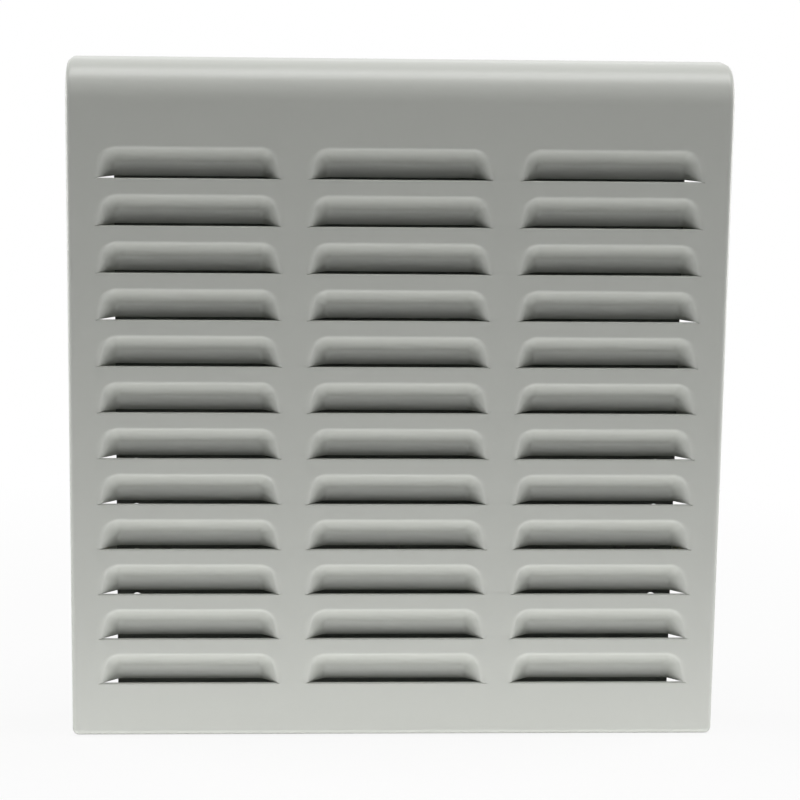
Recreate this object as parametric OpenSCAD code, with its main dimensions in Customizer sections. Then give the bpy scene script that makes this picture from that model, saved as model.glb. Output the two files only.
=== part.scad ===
// Louvred vent cover for the wall of an equipment enclosure.
// One folded sheet-steel cover with pressed louvres carries a baffle on three rails.
// Millimetres. X is to the right, +Y points from the louvred face to the enclosure wall, Z is up.
// The origin is at the middle of the plane where the cover meets the wall.

/* [Cover] */
// Width over the side walls
cover_w = 252; // [250:1:290]
// Height over the top and bottom walls
cover_h = 263; // [256:1:300]
// Depth from the louvred face to the rear of the return flange
cover_d = 30; // [26:0.5:45]
// Thickness of the folded steel sheet
sheet_t = 1.5; // [1:0.1:1.8]
// Outside radius of the large bend over the top
top_bend_r = 15.5; // [10:0.5:18]
// Outside radius of the small folds along the other edges
fold_r = 2.5; // [2:0.1:3.5]
// Width of the return flange round the rear, measured from the outside of the walls
flange_w = 6.5; // [5.5:0.5:7]

/* [Louvres] */
// Number of louvre rows
louvre_rows = 12; // [4:1:12]
// Number of louvre columns
louvre_cols = 3; // [1:2:3]
// Height from one row of cuts to the next
row_pitch = 18; // [16:0.5:18.5]
// Width from the middle of one column to the next
col_pitch = 80; // [76:0.5:82]
// Length of each cut
cut_len = 69; // [50:0.5:70]
// Height of the lowest cut above the bottom of the cover
first_cut_z = 21.5; // [14:0.5:24]
// Height of a louvre from its cut to its top edge, on the face
louvre_h = 11.7; // [10:0.1:13]
// Depth of the louvre floor behind the face
louvre_d = 6; // [4.5:0.1:8]
// Angle between the pressed walls and the face, in degrees
wall_angle = 45; // [40:1:52]
// Lean of the louvre's short ends from the vertical, in degrees
end_lean = 27; // [15:1:32]
// Radius from a pressed wall to the louvre floor, on the front
floor_r = 6; // [3:0.5:6.5]
// Radius from the face to a pressed wall, on the front
rim_r = 2; // [1:0.1:2.5]
// How far the slanting facet takes in each upper corner of a louvre
corner_cut = 0.8; // [0.3:0.1:1.2]
// Height of the louvre lip above its cut
lip_gap = 0.3; // [0.1:0.1:0.6]

/* [Baffle] */
// Gap from each side wall to the baffle, when the baffle is in the middle
baffle_side_gap = 14; // [13.8:0.1:18]
// Gap from the top and bottom walls to the baffle
baffle_end_gap = 8.5; // [4:0.5:12]
// How far the baffle sits to the right of the middle
baffle_offset = 1.1; // [0:0.1:1.3]
// Thickness of the baffle plate
baffle_t = 1.5; // [1:0.1:2]
// Diameter of the small holes along both sides of the baffle
edge_hole_d = 4; // [2:0.5:5]
// Distance from the baffle's side edge to its column of holes
edge_hole_inset = 7.8; // [6:0.1:9]
// Distance from one hole of a column to the next
edge_hole_pitch = 18.3; // [15:0.1:24]
// Number of holes in each column
edge_hole_count = 10; // [2:2:10]

/* [Rails] */
// Height of each rail
rail_h = 30; // [24:1:36]
// Thickness of each rail
rail_t = 1.5; // [1:0.1:2]
// Height from the middle of one rail to the next
rail_pitch = 60; // [50:1:70]
// Clearance between a rail's end and the small fold at the rear corner
rail_end_gap = 0.3; // [0.2:0.1:1]

/* [Rivets and inserts] */
// Diameter of a rivet's shank
rivet_d = 4; // [3:0.2:5]
// Diameter of a rivet's head
rivet_head_d = 8; // [6:0.5:9]
// Thickness of a rivet's head
rivet_head_t = 1; // [0.6:0.1:1.2]
// Distance between the rivets along a rail
rivet_pitch = 90; // [60:1:95]
// Radial clearance of a rivet or an insert in its hole
hole_clearance = 0.05; // [0.02:0.01:0.15]
// Thread diameter of the inserts that hold the cover to the wall
insert_thread_d = 4; // [3:0.5:4]
// Diameter of an insert's body
insert_body_d = 6; // [5.5:0.1:6.4]
// Length of an insert's body in front of the rail
insert_body_len = 8; // [6:0.5:10]
// Diameter of an insert's flange
insert_flange_d = 8.5; // [7.5:0.1:8.8]
// Distance from the return flange's inner edge to an insert's axis
insert_inset = 4.5; // [4.4:0.1:5]

/* [Gasket] */
// Thickness of the foam gasket on the return flange
gasket_t = 2; // [1:0.5:4]
// How far the gasket stays inside the outer edge of the cover
gasket_inset = 1; // [0.5:0.1:1.5]

/* [Hidden] */
$fn = 48;

paint = "#c9cdc9";
dark_coat = "#2b2c2b";
plated = "#b9b7ae";
foam = "#303030";

// Overshoot of a cutting shape past the surface that it opens
over = 1;
// Angle at which a round surface meets its neighbour
blend_break = 4;
// Length of a rivet's upset tail, and how much wider than the shank it is
tail_len = 3;
tail_extra = 1.6;

flange_front_y = cover_d - sheet_t;
rail_front_y = flange_front_y - rail_t;
baffle_front_y = rail_front_y - baffle_t;
rail_len = cover_w - 2 * (fold_r + rail_end_gap);
baffle_w = cover_w - 2 * (sheet_t + baffle_side_gap);
baffle_h = cover_h - 2 * (sheet_t + baffle_end_gap);
insert_x = cover_w / 2 - flange_w - insert_inset;
cover_mid_z = cover_h / 2;

// The parts are drawn with the face at y = 0 and the bottom at z = 0, and moved to the frame here.
module in_frame() {
    translate([0, -cover_d, -cover_mid_z]) children();
}

// Rectangle centred on x, from y = 0 upwards, with four round corners
module round_rect(w, h, r) {
    translate([-w / 2 + r, 0]) square([w - 2 * r, h]);
    translate([-w / 2, r]) square([w, h - 2 * r]);
    for (x = [-w / 2 + r, w / 2 - r], y = [r, h - r])
        translate([x, y]) circle(r);
}

// Closed form of the hood, taken in by an even distance on every side
module hood_form(inset) {
    w = cover_w - 2 * inset;
    h = cover_h - 2 * inset;
    d = cover_d - 2 * inset;
    r = fold_r - inset;
    bend_z = cover_h - top_bend_r;
    difference() {
        intersection() {
            translate([0, inset, 0]) linear_extrude(cover_h) round_rect(w, d, r);
            translate([0, cover_d, inset]) rotate([90, 0, 0]) linear_extrude(cover_d) round_rect(w, h, r);
            translate([0, cover_d / 2, inset]) rotate([90, 0, 90])
                linear_extrude(cover_w, center = true) round_rect(d, h, r);
        }
        translate([-cover_w / 2 - over, -over, bend_z])
            cube([cover_w + 2 * over, top_bend_r + over, top_bend_r + over]);
    }
    // The large bend, whose ends carry the same small fold radius as the sides
    translate([0, top_bend_r, bend_z]) rotate([0, -90, 180])
        rotate_extrude(angle = 90) bend_section(top_bend_r - inset, w, r);
}

// Half section of the large bend: radius across, width along the bend's axis
module bend_section(bend_r, w, r) {
    translate([0, -w / 2]) square([bend_r - r, w]);
    translate([0, -w / 2 + r]) square([bend_r, w - 2 * r]);
    for (y = [-w / 2 + r, w / 2 - r])
        translate([bend_r - r, y]) circle(r);
}

// Section through a pressed wall: x is the distance in from the rim, y the depth behind the face.
// grow is the distance behind the front surface, so that sheet_t gives the back surface.
module press_section(grow, reach) {
    s = sin(wall_angle);
    c = cos(wall_angle);
    depth = louvre_d + grow;
    wall_x = (depth - grow / c) / tan(wall_angle);
    rim_tangent = rim_r * tan(wall_angle / 2);
    // Centre of the round from wall to floor, the same for both surfaces
    floor_y = louvre_d - floor_r;
    floor_x = (floor_r + floor_y * c) / s;
    floor_out = floor_r + grow;
    difference() {
        if (grow == 0)
            polygon([
                [-rim_tangent, -over], [-rim_tangent, 0], [rim_tangent * c, rim_tangent * s],
                [wall_x, depth], [reach, depth], [reach, -over]
            ]);
        else
            polygon([
                [(-over - grow / c) / tan(wall_angle), -over], [wall_x, depth],
                [reach, depth], [reach, -over]
            ]);
        if (grow == 0)
            translate([-rim_tangent, rim_r]) circle(rim_r / cos(blend_break));
        difference() {
            polygon([
                [floor_x, floor_y], [floor_x, depth + over], [wall_x, depth + over],
                [wall_x - over, depth], [floor_x - floor_out * s, floor_y + floor_out * c]
            ]);
            translate([floor_x, floor_y]) circle(floor_out / cos(blend_break));
        }
    }
}

// A pressed wall of endless length whose rim lies along the turned Z axis
module press_prism(angle, grow) {
    reach = cut_len + 4 * louvre_h;
    rotate([0, angle, 0]) linear_extrude(2 * reach, center = true) press_section(grow, reach);
}

// The space inside a louvre (grow = 0), or the back of its metal (grow = sheet_t).
// Its cut lies at z = 0 and the face at y = 0.
module louvre_form(grow, low_z, front_y) {
    top_half = cut_len / 2 - louvre_h * tan(end_lean);
    facet_angle = (90 + end_lean) / 2;
    top_z = louvre_h + grow + rim_r;
    intersection() {
        translate([0, 0, louvre_h]) press_prism(90, grow);
        translate([-cut_len / 2, 0, 0]) press_prism(end_lean, grow);
        mirror([1, 0, 0]) translate([-cut_len / 2, 0, 0]) press_prism(end_lean, grow);
        translate([-top_half, 0, louvre_h]) rotate([0, facet_angle, 0])
            translate([corner_cut, 0, 0]) press_prism(0, grow);
        mirror([1, 0, 0]) translate([-top_half, 0, louvre_h]) rotate([0, facet_angle, 0])
            translate([corner_cut, 0, 0]) press_prism(0, grow);
        translate([-cut_len, front_y, low_z])
            cube([2 * cut_len, louvre_d + sheet_t + over, top_z - low_z]);
    }
}

module at_louvres() {
    for (row = [0 : louvre_rows - 1], col = [0 : louvre_cols - 1])
        translate([(col - (louvre_cols - 1) / 2) * col_pitch, 0, first_cut_z + row * row_pitch])
            children();
}

module louvred_cover() {
    color(paint) in_frame() difference() {
        union() {
            difference() {
                hood_form(0);
                hood_form(sheet_t);
                // Open back inside the return flange
                translate([0, cover_d + over, flange_w]) rotate([90, 0, 0])
                    linear_extrude(sheet_t + 2 * over)
                        round_rect(cover_w - 2 * flange_w, cover_h - 2 * flange_w, fold_r);
            }
            at_louvres() louvre_form(sheet_t, lip_gap, sheet_t / 2);
        }
        at_louvres() louvre_form(0, 0, -over);
    }
}

module at_rivets(rail) {
    for (i = [-1 : 1])
        translate([i * rivet_pitch, 0, cover_mid_z + rail * rail_pitch]) rotate([-90, 0, 0]) children();
}

module baffle_plate() {
    hole_x = baffle_w / 2 - edge_hole_inset;
    first_hole_z = cover_mid_z - (edge_hole_count - 1) / 2 * edge_hole_pitch;
    color(dark_coat) in_frame() difference() {
        translate([baffle_offset - baffle_w / 2, baffle_front_y, cover_mid_z - baffle_h / 2])
            cube([baffle_w, baffle_t, baffle_h]);
        for (side = [-1, 1], i = [0 : edge_hole_count - 1])
            translate([baffle_offset + side * hole_x, 0, first_hole_z + i * edge_hole_pitch])
                rotate([-90, 0, 0]) translate([0, 0, baffle_front_y - over])
                    cylinder(h = baffle_t + 2 * over, d = edge_hole_d);
        for (rail = [-1 : 1])
            at_rivets(rail) translate([0, 0, baffle_front_y - over])
                cylinder(h = baffle_t + 2 * over, d = rivet_d + 2 * hole_clearance);
    }
}

// A flat rail across the back of the cover, welded to the return flange at both ends.
// The middle one has no inserts.
module rail(level, with_inserts) {
    color(paint) in_frame() difference() {
        translate([-rail_len / 2, rail_front_y, cover_mid_z + level * rail_pitch - rail_h / 2])
            cube([rail_len, rail_t, rail_h]);
        at_rivets(level) translate([0, 0, rail_front_y - over])
            cylinder(h = rail_t + 2 * over, d = rivet_d + 2 * hole_clearance);
        if (with_inserts)
            for (x = [-insert_x, insert_x])
                translate([x, rail_front_y - over, cover_mid_z + level * rail_pitch])
                    rotate([-90, 0, 0])
                        cylinder(h = rail_t + 2 * over, d = insert_body_d + 2 * hole_clearance);
    }
}

// Three blind rivets that hold the baffle to one rail, with their heads at the rear
module rivets(level) {
    grip_front = baffle_front_y;
    color(plated) in_frame() at_rivets(level) {
        translate([0, 0, flange_front_y]) cylinder(h = rivet_head_t, d = rivet_head_d);
        translate([0, 0, grip_front]) cylinder(h = flange_front_y - grip_front, d = rivet_d);
        translate([0, 0, grip_front - tail_len]) cylinder(h = tail_len, d = rivet_d + tail_extra);
    }
}

// Threaded insert, set in a rail with its flange at the rear, level with the return flange
module insert(side, level) {
    color(plated) in_frame()
        translate([side * insert_x, 0, cover_mid_z + level * rail_pitch]) rotate([-90, 0, 0])
            difference() {
                union() {
                    translate([0, 0, flange_front_y]) cylinder(h = sheet_t, d = insert_flange_d);
                    translate([0, 0, rail_front_y - insert_body_len])
                        cylinder(h = rail_t + insert_body_len, d = insert_body_d);
                }
                translate([0, 0, rail_front_y - insert_body_len - over])
                    cylinder(h = insert_body_len + rail_t + sheet_t + 2 * over, d = insert_thread_d);
            }
}

// Self-adhesive foam strip round the rear of the return flange
module rear_gasket() {
    outer = gasket_inset;
    inner = flange_w - gasket_inset / 2;
    color(foam) in_frame() translate([0, cover_d + gasket_t, 0]) rotate([90, 0, 0])
        linear_extrude(gasket_t) difference() {
            translate([0, outer]) round_rect(cover_w - 2 * outer, cover_h - 2 * outer, fold_r);
            translate([0, inner]) round_rect(cover_w - 2 * inner, cover_h - 2 * inner, fold_r);
        }
}

louvred_cover();
baffle_plate();
rail(1, true);  // rail_upper
rail(0, false);  // rail_middle
rail(-1, true);  // rail_lower
rivets(1);  // rivets_upper
rivets(0);  // rivets_middle
rivets(-1);  // rivets_lower
insert(-1, 1);  // insert_upper_left
insert(1, 1);  // insert_upper_right
insert(-1, -1);  // insert_lower_left
insert(1, -1);  // insert_lower_right
rear_gasket();
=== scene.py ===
import math

import bmesh
import bpy
from mathutils import Matrix, Vector


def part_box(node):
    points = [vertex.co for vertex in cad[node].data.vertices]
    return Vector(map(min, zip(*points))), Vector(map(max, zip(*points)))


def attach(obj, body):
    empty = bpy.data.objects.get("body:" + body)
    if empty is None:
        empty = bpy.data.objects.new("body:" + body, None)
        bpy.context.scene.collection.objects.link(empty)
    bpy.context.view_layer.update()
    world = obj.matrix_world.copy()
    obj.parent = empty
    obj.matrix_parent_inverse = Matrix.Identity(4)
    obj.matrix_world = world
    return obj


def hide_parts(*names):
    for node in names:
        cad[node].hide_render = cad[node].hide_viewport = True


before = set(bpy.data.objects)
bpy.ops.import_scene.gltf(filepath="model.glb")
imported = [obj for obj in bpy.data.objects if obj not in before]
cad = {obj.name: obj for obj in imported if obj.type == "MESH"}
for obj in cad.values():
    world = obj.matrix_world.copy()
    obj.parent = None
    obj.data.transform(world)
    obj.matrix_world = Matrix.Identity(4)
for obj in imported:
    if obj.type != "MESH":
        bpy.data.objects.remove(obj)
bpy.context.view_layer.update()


# Louvred cover
# One sheet of 1.5 mm steel: cut, pressed with 36 louvres, folded into a hood with a large bend
# over the top and a narrow return flange at the rear, welded at the corners and powder coated.
def mm(*lengths):
    metres = [length / 1000 for length in lengths]
    return metres[0] if len(metres) == 1 else Vector(metres)


sheet_thickness, flange_width = 1.5, 6.5
top_bend_radius, fold_radius, cut_edge_radius = 15.5, 2.5, 0.5
# Two places this close, in metres, are one place, and a normal this far along an axis faces it
close, facing = 1e-6, 0.99
cover_low, cover_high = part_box("louvred_cover")
cover_size = cover_high - cover_low
hood = bmesh.new()
bmesh.ops.create_cube(
    hood,
    size=1,
    matrix=Matrix.Translation((cover_low + cover_high) / 2) @ Matrix.Diagonal((*cover_size, 1)),
)


def round_off(mesh, edges, radius, segments):
    bmesh.ops.bevel(
        mesh,
        geom=edges,
        affect="EDGES",
        offset_type="OFFSET",
        offset=mm(radius),
        segments=segments,
        profile=0.5,
        material=-1,
        clamp_overlap=True,
    )


top_front = [
    e
    for e in hood.edges
    if all(v.co.z > cover_high.z - close and v.co.y < cover_low.y + close for v in e.verts)
]
round_off(hood, top_front, top_bend_radius, segments=18)
folds = [e for e in hood.edges if e.calc_face_angle() > math.radians(60)]
round_off(hood, folds, fold_radius, segments=5)

# The rear opens inside the flange, and the front is filled again round the louvres
rear = max(hood.faces, key=lambda f: f.calc_area() * (f.normal.y > facing))
flat_flange = mm(flange_width - fold_radius)
bmesh.ops.inset_region(hood, faces=[rear], thickness=flat_flange, use_even_offset=True)
front = max(hood.faces, key=lambda f: f.calc_area() * (f.normal.y < -facing))
bmesh.ops.delete(hood, geom=[rear, front], context="FACES_ONLY")

# The press leaves each louvre as a tongue: a round rim, a wall at 45 degrees, a tight hollow
# and a flat lip 6 mm deep, with leaning ends. The sheet beside the ends is drawn in with them,
# in a faint dish that reaches 2.4 mm further out. Each step is one outline, further in and deeper.
cut_length, louvre_height, louvre_depth = 69.0, 11.7, 6.0
rim_radius, hollow_radius, wall_angle = 2.0, 3.0, math.radians(45)
rim_start = rim_radius * math.tan(wall_angle / 2)
hollow_centre = hollow_radius * math.sqrt(2) + (louvre_depth - hollow_radius)
# At the face an end leans by end_lean and has a corner of end_corner. For each millimetre
# further in it moves in by foot_step, its corner loses corner_step, and by upright_at it is upright.
end_lean, end_corner, tip_past_cut = math.radians(17), 5.8, 0.93
foot_step, corner_step, upright_at = 1.122, 0.6, 8.1
dish_reach, dish_low = 2.4, 0.8
rim_parts, hollow_parts, leg_parts, corner_parts = 4, 6, 6, 9
steps = []
for i in range(rim_parts + 1):
    bend = wall_angle * i / rim_parts
    steps.append((rim_radius * math.sin(bend) - rim_start, rim_radius * (1 - math.cos(bend))))
for i in range(hollow_parts + 1):
    bend = wall_angle * (1 - i / hollow_parts)
    steps.append(
        (
            hollow_centre - hollow_radius * math.sin(bend),
            louvre_depth - hollow_radius * (1 - math.cos(bend)),
        )
    )
louvre = bmesh.new()
chains = []
for inward, depth in steps:
    pressed_in = inward + rim_start
    height = louvre_height - inward
    foot = cut_length / 2 + tip_past_cut - foot_step * pressed_in
    lean = end_lean * (1 - pressed_in / upright_at)
    corner = end_corner - corner_step * pressed_in
    dish = dish_reach * max(1 - pressed_in / dish_reach, 0) ** 2
    rise = height - corner
    middle = foot - rise * math.tan(lean) - corner / math.cos(lean)
    leg = rise + corner * math.sin(lean)
    drift = leg * math.tan(lean)
    end = [(foot - drift * i / leg_parts, leg * i / leg_parts) for i in range(leg_parts)]
    for i in range(corner_parts + 1):
        round_by = lean + (math.radians(90) - lean) * i / corner_parts
        end.append((middle + corner * math.cos(round_by), rise + corner * math.sin(round_by)))
    # The dish is widest a little below half the height
    end = [(x + dish * math.sin(math.pi * (z / height) ** dish_low), z) for x, z in end]
    outline = [(-x, z) for x, z in end] + end[::-1]
    verts = [louvre.verts.new(mm(x, depth, z)) for x, z in outline]
    chains.append([louvre.edges.new(pair) for pair in zip(verts, verts[1:])])
for outer, inner in zip(chains[:-1], chains[1:]):
    bmesh.ops.bridge_loops(louvre, edges=outer + inner)
louvre.faces.new(verts)
# The tongue's lower edge draws up by its lift, reached at full_lift_depth behind the face
lift, full_lift_depth = 0.3, 1.0
for v in louvre.verts:
    if v.co.z < close and v.co.y > close:
        v.co.z += mm(lift) * min(v.co.y / mm(full_lift_depth), 1)

rows, first_cut, row_pitch, column_pitch = 12, 21.5, 18.0, 80.0
pressed = bpy.data.meshes.new("pressed")
for row in range(rows):
    for column in (-1, 0, 1):
        above_base = mm(first_cut + row * row_pitch)
        place = Vector((mm(column * column_pitch), cover_low.y, cover_low.z + above_base))
        one = louvre.copy()
        bmesh.ops.translate(one, verts=one.verts, vec=place)
        # The cut itself, from tip to tip, closes the outline at the face
        tips = [v for v in one.verts if abs(v.co.z - place.z) < close]
        one.edges.new((min(tips, key=lambda v: v.co.x), max(tips, key=lambda v: v.co.x)))
        one.to_mesh(pressed)
        hood.from_mesh(pressed)
        one.free()
louvre.free()
sheet_edges = [
    e
    for e in hood.edges
    if len(e.link_faces) < 2 and all(abs(v.co.y - cover_low.y) < close for v in e.verts)
]
bmesh.ops.triangle_fill(hood, use_beauty=True, use_dissolve=False, edges=sheet_edges, normal=(0, -1, 0))
bmesh.ops.recalc_face_normals(hood, faces=hood.faces)
bmesh.ops.solidify(hood, geom=hood.faces[:], thickness=mm(sheet_thickness))
# Below each cut, the coat rounds the edge of the sheet
below_cuts = [
    e
    for e in hood.edges
    if all(abs(v.co.y - cover_low.y) < close for v in e.verts)
    and max((f.normal.z for f in e.link_faces), default=0) > facing
]
round_off(hood, below_cuts, cut_edge_radius, segments=3)
for f in hood.faces:
    f.smooth = True
for e in hood.edges:
    e.smooth = e.calc_face_angle(0) < math.radians(40)
hood_mesh = bpy.data.meshes.new("cover_sheet")
hood.to_mesh(hood_mesh)
hood.free()
cover = bpy.data.objects.new("cover_sheet", hood_mesh)
bpy.context.scene.collection.objects.link(cover)
even_shade = cover.modifiers.new("even_shade", "WEIGHTED_NORMAL")
even_shade.keep_sharp = True


def linear(hex_colour):
    srgb = [int(hex_colour[i : i + 2], 16) / 255 for i in (1, 3, 5)]
    return [c / 12.92 if c <= 0.04045 else ((c + 0.055) / 1.055) ** 2.4 for c in srgb] + [1]


def add_node(tree, kind, settings=None, links=None):
    node = tree.nodes.new(kind)
    for name, value in (settings or {}).items():
        if name in node.inputs:
            node.inputs[name].default_value = value
        else:
            setattr(node, name, value)
    for name, source in (links or {}).items():
        tree.links.new(source, node.inputs[name])
    return node


def finish(name, colour, roughness, metallic=0.0):
    material = bpy.data.materials.new(name)
    material.use_nodes = True
    shader = material.node_tree.nodes["Principled BSDF"]
    shader.inputs["Base Color"].default_value = linear(colour)
    shader.inputs["Roughness"].default_value = roughness
    shader.inputs["Metallic"].default_value = metallic
    return material, material.node_tree, shader


# Polyester powder coat, sprayed dry and baked: an even light grey with a satin gloss and the
# fine dimpled skin called orange peel, about 1.5 mm from dimple to dimple.
dimple_spacing, dimple_depth = 1.5, 0.06
powder_coat, tree, shader = finish("powder_coat", "#CCCEC8", 0.33)
coordinates = add_node(tree, "ShaderNodeTexCoord")
peel = add_node(
    tree,
    "ShaderNodeTexNoise",
    {"Scale": 1 / mm(dimple_spacing), "Detail": 2.0, "Roughness": 0.5},
    {"Vector": coordinates.outputs["Object"]},
)
bump = add_node(
    tree,
    "ShaderNodeBump",
    {"Strength": 0.35, "Distance": mm(dimple_depth)},
    {"Height": peel.outputs["Fac"]},
)
tree.links.new(bump.outputs["Normal"], shader.inputs["Normal"])
cover.data.materials.append(powder_coat)
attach(cover, "root")
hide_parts("louvred_cover")


# Baffle plate
# Flat 1.5 mm steel plate close behind the louvres, which keeps out spray. It is dip painted in a
# matt mid grey, darker than the cover. That is partly its own paint and partly painted shade for
# the dim inside seen through the cuts. The paint dries with a dull, faint grain.
grain_spacing, grain_depth = 0.8, 0.04
dark_coat, tree, shader = finish("dark_coat", "#8C8E8B", 0.55)
coordinates = add_node(tree, "ShaderNodeTexCoord")
grain = add_node(
    tree,
    "ShaderNodeTexNoise",
    {"Scale": 1 / mm(grain_spacing), "Detail": 3.0, "Roughness": 0.6},
    {"Vector": coordinates.outputs["Object"]},
)
bump = add_node(
    tree,
    "ShaderNodeBump",
    {"Strength": 0.3, "Distance": mm(grain_depth)},
    {"Height": grain.outputs["Fac"]},
)
tree.links.new(bump.outputs["Normal"], shader.inputs["Normal"])


def refinish(node, material):
    cad[node].data.materials.clear()
    cad[node].data.materials.append(material)


refinish("baffle_plate", dark_coat)


# Rails
# Three flat strips of the same sheet as the cover, spot welded to its return flange at both ends
# before painting, so they carry the same powder coat.
for level in ("upper", "middle", "lower"):
    refinish(f"rail_{level}", powder_coat)


# Blind rivets
# Domed steel blind rivets, pulled from the rear. The broken end of the mandrel stays sunk in the
# middle of the head, and the shank is upset into a bulb against the baffle.
def place_in_mesh(name, mesh, material, node):
    bmesh.ops.remove_doubles(mesh, verts=mesh.verts, dist=mm(0.001))
    bmesh.ops.recalc_face_normals(mesh, faces=mesh.faces)
    for f in mesh.faces:
        f.smooth = True
    for e in mesh.edges:
        e.smooth = e.calc_face_angle(0) < math.radians(35)
    data = bpy.data.meshes.new(name)
    mesh.to_mesh(data)
    mesh.free()
    piece = bpy.data.objects.new(name, data)
    bpy.context.scene.collection.objects.link(piece)
    data.materials.append(material)
    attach(piece, "root")
    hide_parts(node)


def turn(mesh, profile, centre, closed=False):
    # The profile's points are a radius and a place along the Y axis, in millimetres
    verts = [mesh.verts.new(centre + mm(radius, along, 0)) for radius, along in profile]
    pairs = list(zip(verts, verts[1:] + verts[:1]))
    edges = [mesh.edges.new(pair) for pair in (pairs if closed else pairs[:-1])]
    bmesh.ops.spin(
        mesh,
        geom=verts + edges,
        cent=centre,
        axis=(0, 1, 0),
        angle=math.tau,
        steps=40,
        use_merge=True,
    )


head_radius, head_height, shank_radius = 4.0, 1.0, 2.0
bulb_radius, bulb_length, bulb_widest = 2.8, 3.0, 0.4
dome_drop, mandrel_radius, mandrel_sunk, mandrel_chamfer = 0.8, 1.1, 0.5, 0.15
hole_chamfer, groove_width, groove_depth = 0.12, 0.1, 0.6
# Steel drawn as wire and headed cold, then tumbled: fine random scuffs, 0.3 mm apart
scuff_spacing, scuff_depth = 0.3, 0.01
rivet_steel, tree, shader = finish("rivet_steel", "#B4B2AC", 0.36, metallic=1.0)
coordinates = add_node(tree, "ShaderNodeTexCoord")
scuff = add_node(
    tree,
    "ShaderNodeTexNoise",
    {"Scale": 1 / mm(scuff_spacing), "Detail": 3.0, "Roughness": 0.65},
    {"Vector": coordinates.outputs["Object"]},
)
dullness = add_node(
    tree,
    "ShaderNodeMapRange",
    {"To Min": 0.26, "To Max": 0.5},
    {"Value": scuff.outputs["Fac"]},
)
tree.links.new(dullness.outputs["Result"], shader.inputs["Roughness"])
bump = add_node(
    tree,
    "ShaderNodeBump",
    {"Strength": 0.2, "Distance": mm(scuff_depth)},
    {"Height": scuff.outputs["Fac"]},
)
tree.links.new(bump.outputs["Normal"], shader.inputs["Normal"])

for level in ("upper", "middle", "lower"):
    low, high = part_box(f"rivets_{level}")
    grip = 1000 * (high.y - low.y) - head_height - bulb_length
    profile = [(0, -mandrel_sunk), (mandrel_radius - mandrel_chamfer, -mandrel_sunk)]
    profile += [(mandrel_radius - groove_width, -groove_depth), (mandrel_radius, -groove_depth)]
    profile += [(mandrel_radius, -hole_chamfer), (mandrel_radius + hole_chamfer, 0)]
    for i in range(1, 9):
        turn_down = math.radians(90) * i / 8
        dome = (head_radius - mandrel_radius - hole_chamfer) * math.sin(turn_down)
        along = -dome_drop * (1 - math.cos(turn_down))
        profile.append((mandrel_radius + hole_chamfer + dome, along))
    profile += [(head_radius, -head_height), (shank_radius, -head_height)]
    baffle_face = -head_height - grip
    profile.append((shank_radius, baffle_face))
    widest = baffle_face - bulb_length * bulb_widest
    for i in range(9):
        around = math.radians(-50 + 130 * i / 8)
        along = widest - bulb_length * (1 - bulb_widest) * math.sin(around)
        bulge = (bulb_radius - shank_radius) * math.cos(around)
        profile.append((shank_radius + bulge, min(along, baffle_face)))
    profile += [(mandrel_radius, baffle_face - bulb_length), (0, baffle_face - bulb_length)]
    rivets = bmesh.new()
    for x in (low.x + mm(head_radius), (low.x + high.x) / 2, high.x - mm(head_radius)):
        turn(rivets, profile, Vector((x, high.y, (low.z + high.z) / 2)))
    place_in_mesh(f"blind_rivets_{level}", rivets, rivet_steel, f"rivets_{level}")
    # The bulbs are painted with the baffle after riveting. Its grey is partly darkened as painted shade
    tails = bpy.data.objects[f"blind_rivets_{level}"].data
    tails.materials.append(dark_coat)
    for f in tails.polygons:
        if f.center.y < high.y + mm(baffle_face) - close:
            f.material_index = 1


# Threaded inserts
# Zinc-plated steel rivet nuts, M4, set in the upper and lower rails from the rear. Four screws
# from inside the enclosure go into them and hold the cover to the wall.
flange_radius, body_radius, bore_radius = 4.25, 3.0, 2.0
flange_height, lead_in, flange_chamfer, nose_chamfer = 1.5, 0.4, 0.25, 0.3
# The thread is a ridge of three sides, wound along the bore, with its root sunk in the wall
thread_pitch, thread_depth, ridge_width, root_sunk = 0.7, 0.35, 0.62, 0.02
thread_start, unthreaded, steps_a_turn = 0.55, 1.8, 20
# The passivated zinc is faintly yellow and blue in patches 3 mm across
patch_size, patch_depth = 3.0, 0.01
zinc_plate, tree, shader = finish("zinc_plate", "#C4C2B4", 0.3, metallic=1.0)
coordinates = add_node(tree, "ShaderNodeTexCoord")
patches = add_node(
    tree,
    "ShaderNodeTexNoise",
    {"Scale": 1 / mm(patch_size), "Detail": 3.0, "Roughness": 0.6},
    {"Vector": coordinates.outputs["Object"]},
)
tint = add_node(tree, "ShaderNodeValToRGB", None, {"Fac": patches.outputs["Fac"]})
tint.color_ramp.elements[0].position = 0.35
tint.color_ramp.elements[0].color = linear("#C9C4A8")
tint.color_ramp.elements[1].position = 0.65
tint.color_ramp.elements[1].color = linear("#BFC3C6")
tree.links.new(tint.outputs["Color"], shader.inputs["Base Color"])
bump = add_node(
    tree,
    "ShaderNodeBump",
    {"Strength": 0.15, "Distance": mm(patch_depth)},
    {"Height": patches.outputs["Fac"]},
)
tree.links.new(bump.outputs["Normal"], shader.inputs["Normal"])

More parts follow.
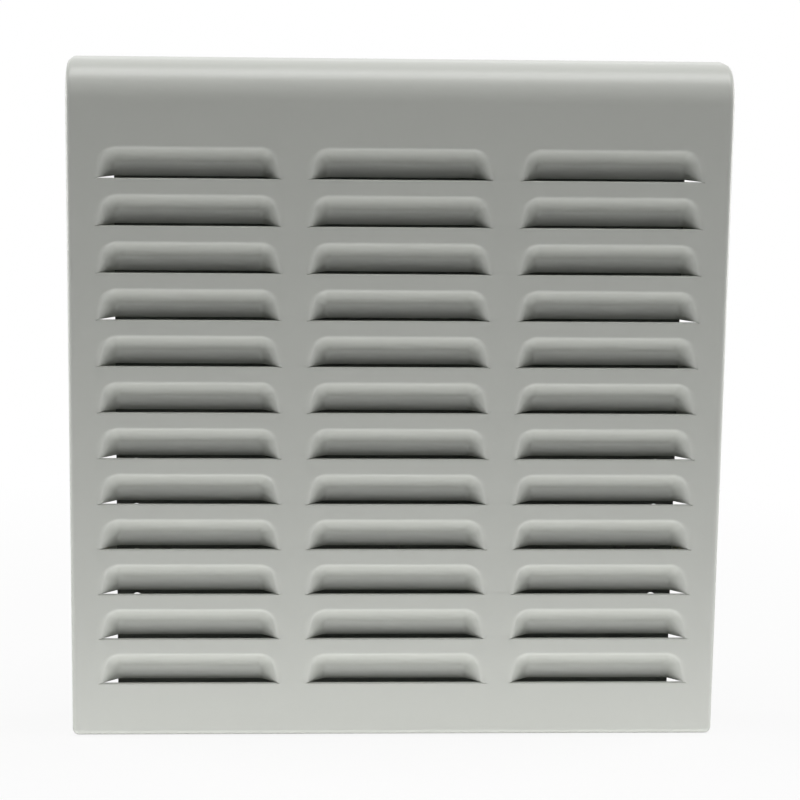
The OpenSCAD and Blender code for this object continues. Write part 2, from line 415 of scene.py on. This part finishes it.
for corner in ("upper_left", "upper_right", "lower_left", "lower_right"):
    low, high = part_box(f"insert_{corner}")
    length = 1000 * (high.y - low.y)
    centre = Vector(((low.x + high.x) / 2, high.y, (low.z + high.z) / 2))
    profile = [(bore_radius + lead_in, 0), (flange_radius - flange_chamfer, 0)]
    profile += [(flange_radius, -flange_chamfer), (flange_radius, -flange_height)]
    profile += [(body_radius, -flange_height), (body_radius, nose_chamfer - length)]
    profile += [(body_radius - nose_chamfer, -length), (bore_radius, -length)]
    profile.append((bore_radius, -lead_in))
    nut = bmesh.new()
    turn(nut, profile, centre, closed=True)
    start = [(bore_radius + root_sunk, -thread_start)]
    start.append((bore_radius - thread_depth, -thread_start - ridge_width / 2))
    start.append((bore_radius + root_sunk, -thread_start - ridge_width))
    ridge = [nut.verts.new(centre + mm(radius, along, 0)) for radius, along in start]
    turns = int((length - unthreaded) / thread_pitch)
    bmesh.ops.spin(
        nut,
        geom=[nut.faces.new(ridge)],
        cent=centre,
        axis=(0, 1, 0),
        dvec=mm(0, -thread_pitch / steps_a_turn, 0),
        angle=math.tau * turns,
        steps=steps_a_turn * turns,
    )
    place_in_mesh(f"rivet_nut_{corner}", nut, zinc_plate, f"insert_{corner}")


# Gasket
# Closed-cell foam strip, 2 mm thick and self-adhesive, stuck round the return flange. Its cut
# surface shows small cells, drawn 0.7 mm across so that they show.
cell_size, cell_depth = 0.7, 0.15
foam, tree, shader = finish("closed_cell_foam", "#2A2A2A", 0.92)
coordinates = add_node(tree, "ShaderNodeTexCoord")
cells = add_node(
    tree,
    "ShaderNodeTexVoronoi",
    {"Scale": 1 / mm(cell_size)},
    {"Vector": coordinates.outputs["Object"]},
)
bump = add_node(
    tree,
    "ShaderNodeBump",
    {"Strength": 0.6, "Distance": mm(cell_depth)},
    {"Height": cells.outputs["Distance"]},
)
tree.links.new(bump.outputs["Normal"], shader.inputs["Normal"])
refinish("rear_gasket", foam)


# Room
# A table covered with white paper, an overhead softbox, a weaker one at the right, two white
# cards on the table in front, which light the lower rows from below, and a softbox behind the
# face at each side, which lights the side folds and walls.
def seen_directly(tree):
    path = add_node(tree, "ShaderNodeLightPath")
    mirrored = add_node(
        tree,
        "ShaderNodeMath",
        {"operation": "MAXIMUM"},
        {0: path.outputs["Is Camera Ray"], 1: path.outputs["Is Glossy Ray"]},
    )
    through = add_node(
        tree,
        "ShaderNodeMath",
        {"operation": "MAXIMUM"},
        {0: mirrored.outputs[0], 1: path.outputs["Is Transmission Ray"]},
    )
    return through.outputs[0]


floor_reach, floor_drop, card_drop = 3.0, 0.2, 0.15
floor_mesh = bmesh.new()
bmesh.ops.create_grid(floor_mesh, x_segments=1, y_segments=1, size=floor_reach)
floor_height = cover_low.z - mm(floor_drop)
bmesh.ops.translate(floor_mesh, verts=floor_mesh.verts, vec=(0, 0, floor_height))
floor_data = bpy.data.meshes.new("floor")
floor_mesh.to_mesh(floor_data)
floor_mesh.free()
floor = bpy.data.objects.new("floor", floor_data)
bpy.context.scene.collection.objects.link(floor)
white_paper, tree, shader = finish("white_paper", "#F4F4F4", 0.9)
coordinates = add_node(tree, "ShaderNodeTexCoord")
reach = add_node(
    tree,
    "ShaderNodeVectorMath",
    {"operation": "LENGTH"},
    {0: coordinates.outputs["Object"]},
)
# Near the cover the paper shows some of its shadow, further out it is plain white
plain = add_node(
    tree,
    "ShaderNodeMapRange",
    {"From Min": 0.15, "From Max": 0.45, "To Min": 0.88, "To Max": 1.0},
    {"Value": reach.outputs["Value"]},
)
share = add_node(
    tree,
    "ShaderNodeMath",
    {"operation": "MULTIPLY"},
    {0: seen_directly(tree), 1: plain.outputs["Result"]},
)
white = add_node(tree, "ShaderNodeEmission", {"Color": (1, 1, 1, 1), "Strength": 1.0})
sheet = add_node(
    tree,
    "ShaderNodeMixShader",
    None,
    {0: share.outputs[0], 1: shader.outputs[0], 2: white.outputs[0]},
)
tree.links.new(sheet.outputs[0], tree.nodes["Material Output"].inputs["Surface"])
floor.data.materials.append(white_paper)

world = bpy.data.worlds.new("room")
world.use_nodes = True
bpy.context.scene.world = world
tree = world.node_tree
tree.nodes.clear()
ambient = add_node(tree, "ShaderNodeBackground", {"Color": (1, 1, 1, 1), "Strength": 0.0})
backdrop = add_node(tree, "ShaderNodeBackground", {"Color": (1, 1, 1, 1), "Strength": 1.0})
room = add_node(
    tree,
    "ShaderNodeMixShader",
    None,
    {0: seen_directly(tree), 1: ambient.outputs[0], 2: backdrop.outputs[0]},
)
add_node(tree, "ShaderNodeOutputWorld", None, {0: room.outputs[0]})


def softbox(name, place, aim, width, depth, watts, spread=180):
    lamp = bpy.data.lights.new(name, "AREA")
    lamp.shape = "RECTANGLE"
    lamp.size, lamp.size_y, lamp.energy = width, depth, watts
    lamp.spread = math.radians(spread)
    box = bpy.data.objects.new(name, lamp)
    bpy.context.scene.collection.objects.link(box)
    box.location = place
    box.rotation_euler = (Vector(aim) - Vector(place)).to_track_quat("-Z", "Y").to_euler()
    box.visible_camera = False


softbox("overhead", (0, -0.05, 0.9), (0, -0.05, 0), 1.6, 0.4, 9.0)
softbox("right", (1.2, -0.2, 0.3), (0, 0, 0), 0.8, 1.0, 1.0)
card_height = cover_low.z - mm(card_drop)
for name, depth, watts in (("card", 0.47, 1.15), ("near_card", 0.10, 0.26)):
    middle = cover_low.y - depth / 2
    softbox(name, (0, middle, card_height), (0, middle, 1), 1.6, depth, watts)
for name, side in (("left_rear", -1), ("right_rear", 1)):
    softbox(name, (side * 0.9, 0.4, 0.05), (0, 0, 0), 0.9, 0.5, 0.8, spread=50)

# The camera stands a metre in front, a little above and to the left, as for the photograph.
lens = bpy.data.cameras.new("camera")
lens.sensor_width = 36
lens.lens = 117.38
camera = bpy.data.objects.new("camera", lens)
bpy.context.scene.collection.objects.link(camera)
camera_place = (-0.05078, -1.00860, 0.20587)
heading, tilt, roll = [math.radians(angle) for angle in (-3.007, -11.673, -0.803)]
camera.matrix_world = (
    Matrix.Translation(camera_place)
    @ Matrix.Rotation(heading, 4, "Z")
    @ Matrix.Rotation(tilt, 4, "X")
    @ Matrix.Rotation(roll, 4, "Y")
    @ Matrix.Rotation(math.radians(90), 4, "X")
)
bpy.context.scene.camera = camera
bpy.context.scene.view_settings.view_transform = "Standard"
